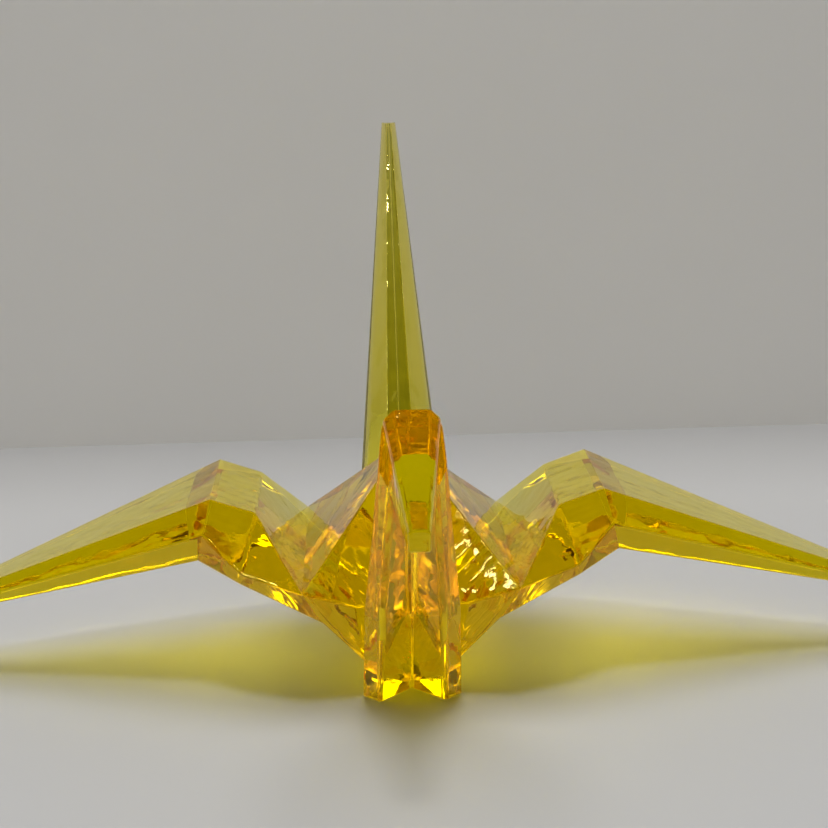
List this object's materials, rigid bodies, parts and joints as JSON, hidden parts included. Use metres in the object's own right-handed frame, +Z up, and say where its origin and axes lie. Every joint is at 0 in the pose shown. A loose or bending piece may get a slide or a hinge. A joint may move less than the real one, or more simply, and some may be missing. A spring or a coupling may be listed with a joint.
{
  "type": "origami crane ornament",
  "caption": "Standing origami crane ornament in clear amber plastic, with folded neck and head, raised tail and drooping wings",
  "frame": {"origin": "on the surface the crane stands on, at the middle of its overall length and wingspan", "axes": "-Y towards the beak, +Y towards the tail, -X the wing on the left as seen from the front, +Z up"},
  "size_m": [0.16, 0.1384, 0.079],
  "materials": {
    "amber_acrylic": "polished clear, tinted yellow that deepens to amber with thickness"
  },
  "bodies": {
    "root": {"body": "amber_acrylic", "neck": "amber_acrylic", "head": "amber_acrylic", "tail": "amber_acrylic", "left_inner_wing": "amber_acrylic", "left_outer_wing": "amber_acrylic", "right_inner_wing": "amber_acrylic", "right_outer_wing": "amber_acrylic"}
  },
  "joints": []
}
